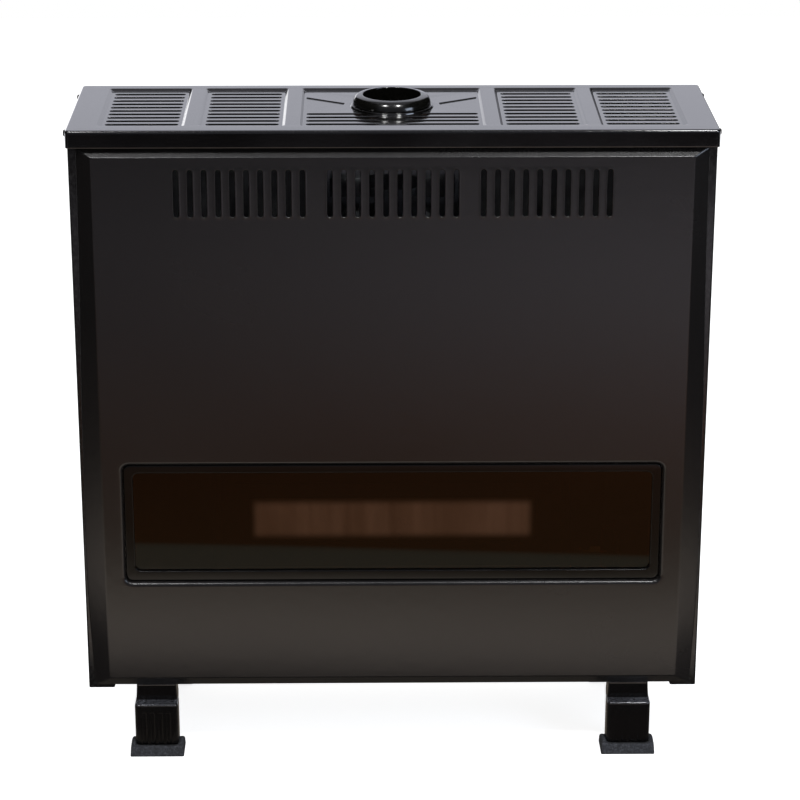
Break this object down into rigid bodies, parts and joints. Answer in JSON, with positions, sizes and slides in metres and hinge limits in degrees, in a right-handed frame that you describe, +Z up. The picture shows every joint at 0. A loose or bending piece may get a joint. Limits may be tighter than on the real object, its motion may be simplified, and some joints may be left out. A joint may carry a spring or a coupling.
{
  "type": "wall mounted gas heater",
  "caption": "Flued gas room heater: louvred top with a flue collar, bevelled front with vents and a wide window, short legs and wall brackets.",
  "frame": {"origin": "centre of the bounding box on the floor plane, under the soles of the rubber shoes", "axes": "+X across the width to the side with the controls, +Y from the front to the wall, +Z up"},
  "size_m": [0.8126, 0.264, 0.863],
  "materials": {
    "enamel": "gloss",
    "satin_enamel": "satin",
    "gloss_enamel": "gloss",
    "rubber": "matte",
    "tinted_glass": "gloss",
    "clear_glass": "gloss",
    "dark_steel": "matte",
    "plain_steel": "satin",
    "cast_aluminium": "matte",
    "brass": "satin",
    "copper": "satin",
    "black_plastic": "matte",
    "red_plastic": "gloss",
    "ceramic": "gloss",
    "fibre": "matte"
  },
  "bodies": {
    "heater": {"back_plate": "plain_steel", "base_pan": "dark_steel", "burner_bracket_left": "plain_steel", "burner_bracket_right": "plain_steel", "burner_feed_pipe": "copper", "burner_tube": "plain_steel", "burner_venturi": "plain_steel", "chamber_support_left": "plain_steel", "chamber_support_right": "plain_steel", "chamber_window": "clear_glass", "chamber_window_frame": "dark_steel", "combustion_chamber": "dark_steel", "control_well": "black_plastic", "cover_screw_left_1": "dark_steel", "cover_screw_left_2": "dark_steel", "cover_screw_right_1": "dark_steel", "cover_screw_right_2": "dark_steel", "draught_diverter": "plain_steel", "flue_collar": "gloss_enamel", "flue_duct": "plain_steel", "front_panel": "satin_enamel", "gas_injector": "brass", "gas_inlet_pipe": "plain_steel", "gas_valve": "cast_aluminium", "glass_retainer": "plain_steel", "igniter_body": "black_plastic", "ignition_lead": "red_plastic", "inlet_union_nut": "brass", "leg_bolt_front_left": "plain_steel", "leg_bolt_front_right": "plain_steel", "leg_bolt_rear_left": "plain_steel", "leg_bolt_rear_right": "plain_steel", "leg_front_left": "gloss_enamel", "leg_front_right": "gloss_enamel", "leg_rear_left": "gloss_enamel", "leg_rear_right": "gloss_enamel", "panel_screw_left": "plain_steel", "panel_screw_right": "plain_steel", "pilot_bracket": "plain_steel", "pilot_burner": "brass", "pilot_pipe": "copper", "rear_heat_shield": "plain_steel", "shoe_front_left": "rubber", "shoe_front_right": "rubber", "shoe_rear_left": "rubber", "shoe_rear_right": "rubber", "side_panel_left": "satin_enamel", "side_panel_right": "satin_enamel", "spark_electrode": "ceramic", "thermocouple": "copper", "top_cover": "enamel", "valve_bracket": "plain_steel", "wall_bracket_left": "plain_steel", "wall_bracket_right": "plain_steel", "window_frame": "gloss_enamel", "window_glass": "tinted_glass", "window_seal": "fibre"},
    "spindle": {"valve_spindle": "brass"},
    "knob": {"control_knob": "black_plastic"},
    "igniter": {"igniter_button": "red_plastic"}
  },
  "joints": [
    {"name": "knob_turn", "type": "hinge", "parent": "heater", "child": "spindle", "pos_m": [0.37, 0.0015, 0.245], "axis": [1, 0, 0], "range_deg": [0, 180]},
    {"name": "knob_push", "type": "slide", "parent": "spindle", "child": "knob", "axis": [-1, 0, 0], "range_m": [0, 0.004], "stiffness_N_per_m": 800},
    {"name": "igniter_press", "type": "slide", "parent": "heater", "child": "igniter", "axis": [-1, 0, 0], "range_m": [0, 0.007], "stiffness_N_per_m": 1200}
  ]
}
